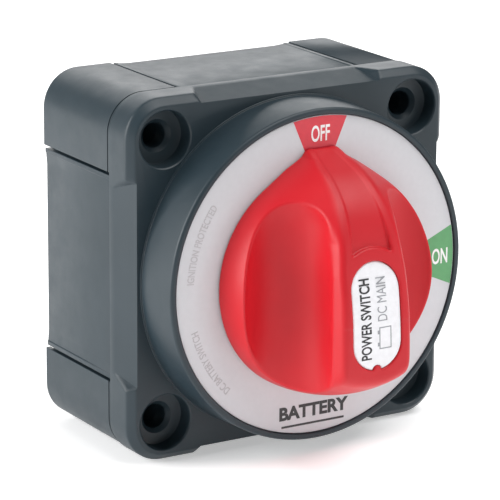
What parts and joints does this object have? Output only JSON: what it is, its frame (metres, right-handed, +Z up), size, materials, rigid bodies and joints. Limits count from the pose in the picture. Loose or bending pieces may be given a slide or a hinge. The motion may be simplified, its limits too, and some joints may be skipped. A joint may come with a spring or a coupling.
{
  "type": "battery switch",
  "caption": "Square surface-mount rotary battery master switch with a round bezel and dial, a pointer knob that turns from off to on, slide-out cable covers and stud terminals.",
  "frame": {"origin": "centre of the mounting hole pattern, on the back face that lies against the panel", "axes": "+Z up towards the off mark, -Y out of the panel towards the user along the knob's axis, +X to the right as the user sees it"},
  "size_m": [0.098, 0.09, 0.098],
  "materials": {
    "case_plastic": "satin moulded plastic with a fine grain",
    "knob_plastic": "semi-gloss moulded plastic",
    "dial_print": "satin printed plastic disc",
    "label_print": "satin printed plastic insert",
    "seal_rubber": "matt",
    "rotor_plastic": "matt glass-filled plastic",
    "contact_copper": "bare copper, lightly polished",
    "stud_metal": "tin-plated copper, satin",
    "zinc_steel": "zinc-plated, satin"
  },
  "bodies": {
    "case": {"front_housing": "case_plastic", "rear_base": "case_plastic", "housing_gasket": "seal_rubber", "housing_screws": "zinc_steel", "dial_plate": "dial_print", "shaft_seal": "seal_rubber", "fixed_contact_left": "contact_copper", "fixed_contact_right": "contact_copper", "terminal_stud_left": "stud_metal", "terminal_stud_right": "stud_metal", "flat_washers": "zinc_steel", "spring_washers": "zinc_steel", "stud_nuts": "zinc_steel"},
    "rotor": {"knob": "knob_plastic", "knob_screw": "zinc_steel", "spindle": "zinc_steel", "contact_carrier": "rotor_plastic", "contact_springs": "zinc_steel", "detent_springs": "zinc_steel"},
    "bridge": {"moving_contact": "contact_copper"},
    "ball_left": {"detent_ball_left": "zinc_steel"},
    "ball_right": {"detent_ball_right": "zinc_steel"},
    "label": {"knob_label": "label_print"},
    "cover_top": {"side_panel_top": "case_plastic"},
    "cover_right": {"side_panel_right": "case_plastic"},
    "cover_bottom": {"side_panel_bottom": "case_plastic"},
    "cover_left": {"side_panel_left": "case_plastic"}
  },
  "joints": [
    {"name": "knob_turn", "type": "hinge", "parent": "case", "child": "rotor", "pos_m": [0, 0, 0], "axis": [0, 1, 0], "range_deg": [0, 90]},
    {"name": "bridge_float", "type": "slide", "parent": "rotor", "child": "bridge", "axis": [0, -1, 0], "range_m": [0, 0.0008], "stiffness_N_per_m": 1500, "springref_m": -0.004, "deforming": ["contact_springs"]},
    {"name": "ball_left_travel", "type": "slide", "parent": "rotor", "child": "ball_left", "axis": [-1, 0, 0], "range_m": [0, 0.0006], "stiffness_N_per_m": 60, "springref_m": 0.004, "deforming": ["detent_springs"]},
    {"name": "ball_right_travel", "type": "slide", "parent": "rotor", "child": "ball_right", "axis": [1, 0, 0], "range_m": [0, 0.0006], "stiffness_N_per_m": 60, "springref_m": 0.004, "deforming": ["detent_springs"]},
    {"name": "label_lift", "type": "slide", "parent": "rotor", "child": "label", "axis": [0, -0.9945, 0.105], "range_m": [0, 0.006]},
    {"name": "cover_top_slide", "type": "slide", "parent": "case", "child": "cover_top", "axis": [0, 1, 0], "range_m": [0, 0.036]},
    {"name": "cover_right_slide", "type": "slide", "parent": "case", "child": "cover_right", "axis": [0, 1, 0], "range_m": [0, 0.036]},
    {"name": "cover_bottom_slide", "type": "slide", "parent": "case", "child": "cover_bottom", "axis": [0, 1, 0], "range_m": [0, 0.036]},
    {"name": "cover_left_slide", "type": "slide", "parent": "case", "child": "cover_left", "axis": [0, 1, 0], "range_m": [0, 0.036]}
  ]
}
